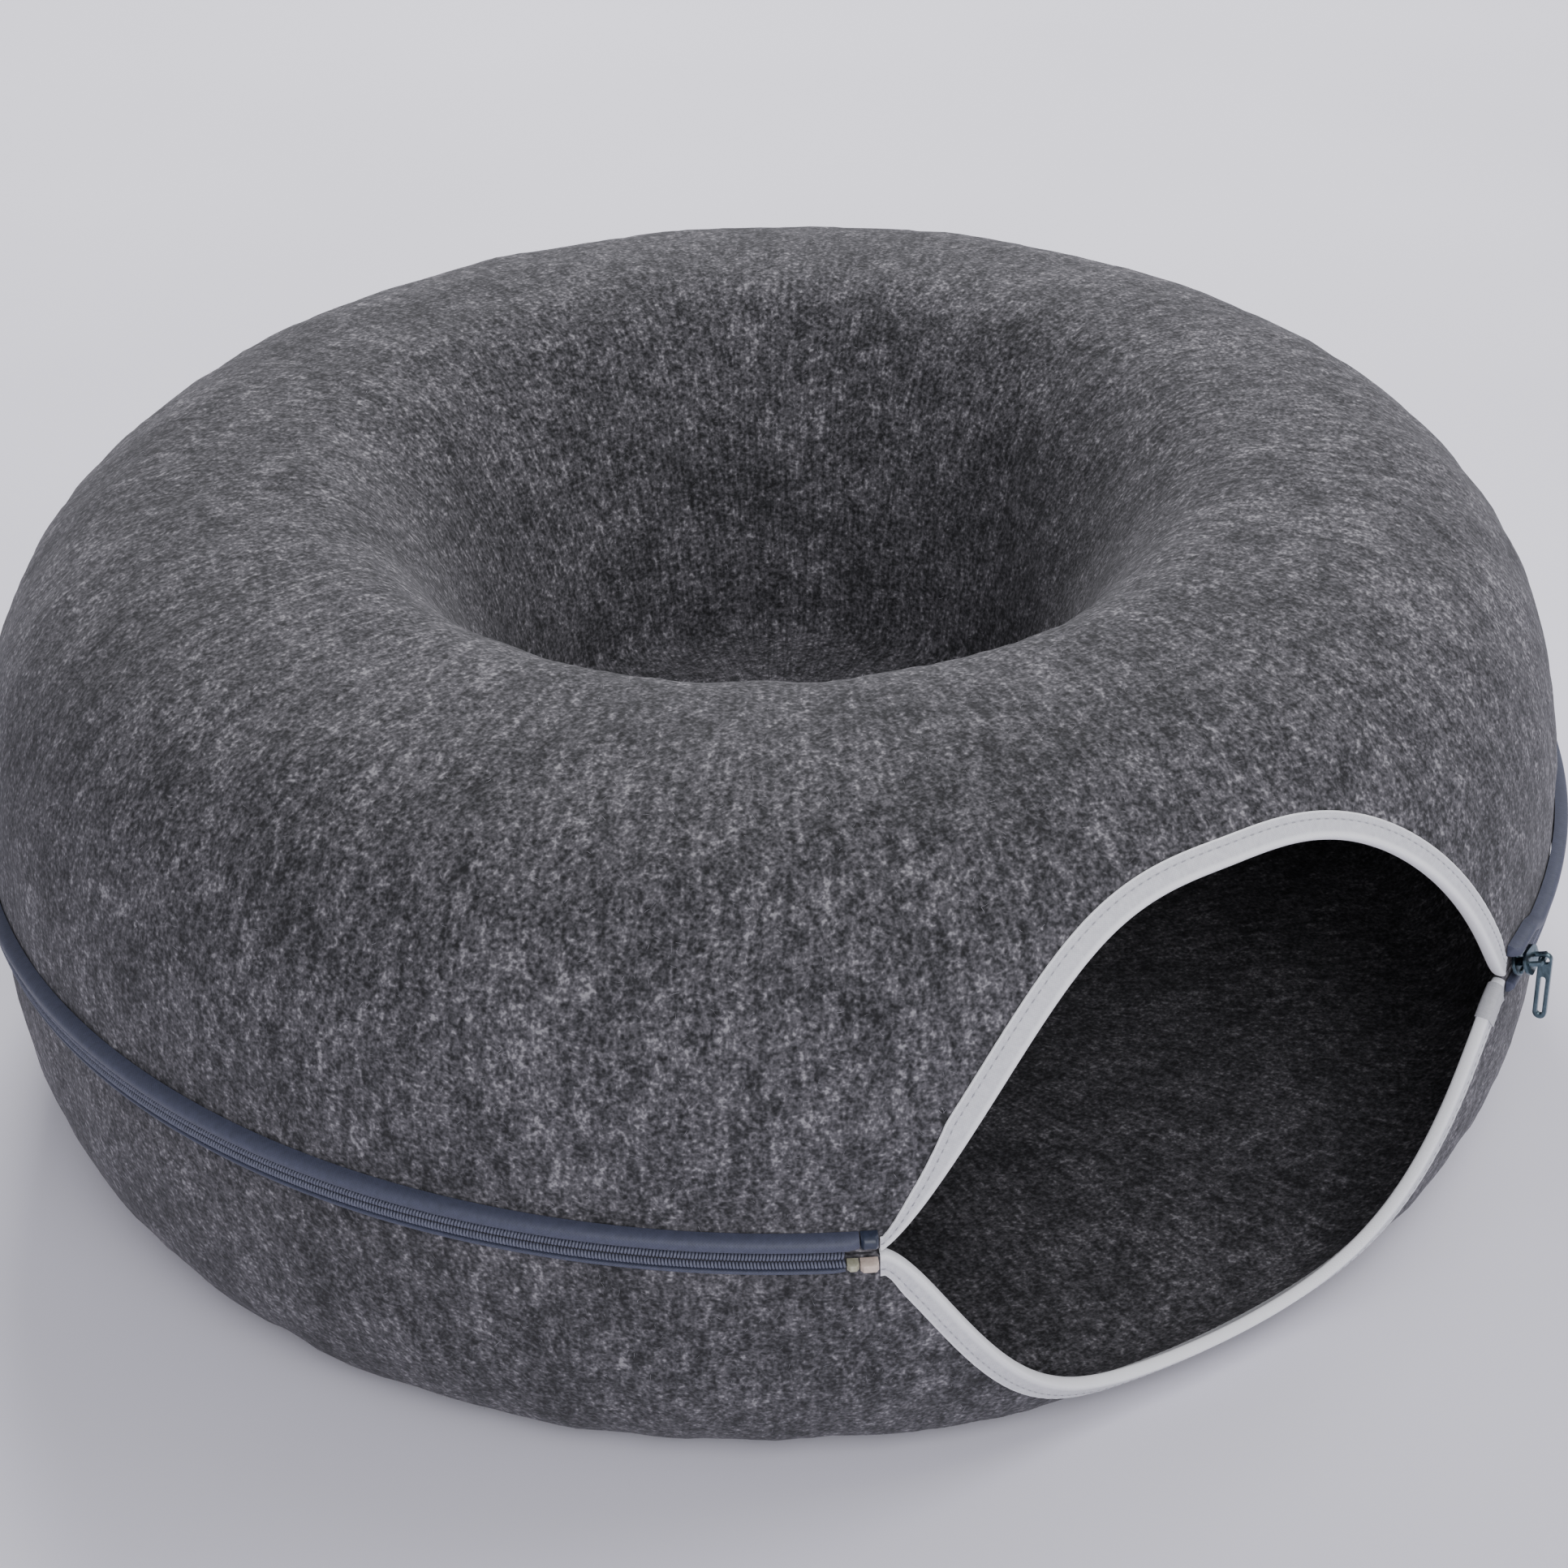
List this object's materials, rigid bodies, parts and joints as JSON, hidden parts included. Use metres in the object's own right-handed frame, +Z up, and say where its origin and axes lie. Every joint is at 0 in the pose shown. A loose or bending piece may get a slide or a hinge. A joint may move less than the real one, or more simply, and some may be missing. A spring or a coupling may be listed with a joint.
{
  "type": "felt cat cave",
  "caption": "Hollow ring-shaped felt pet cave with a sunken middle, a zip round its widest part and an almond-shaped entrance bound with light ribbon.",
  "frame": {"origin": "middle of the flat bottom, on the surface that the cave stands on", "axes": "+Z up; the entrance faces -Y; +X is to the right of somebody who looks into the entrance"},
  "size_m": [0.6112, 0.5912, 0.242],
  "materials": {
    "felt": "mottled grey needle felt, matt and slightly fuzzy",
    "ribbon": "light silver-grey woven ribbon",
    "tape": "slate-blue woven zip tape",
    "coil": "dark slate nylon coil",
    "tape_end": "stiffened dark end of the tape",
    "retainer": "moulded beige plastic",
    "pin": "moulded olive-grey plastic",
    "gunmetal": "dark gunmetal finish on die-cast metal, smooth"
  },
  "bodies": {
    "root": {"upper_shell": "felt", "lower_shell": "felt", "upper_tape": "tape", "lower_tape": "tape", "zip_chain": "coil", "zip_slider": "gunmetal", "zip_pull": "gunmetal", "retainer_box": "retainer", "insertion_pin": "pin", "tape_end_patch": "tape_end", "upper_binding": "ribbon", "lower_binding": "ribbon", "binding_tail": "ribbon"}
  },
  "joints": []
}
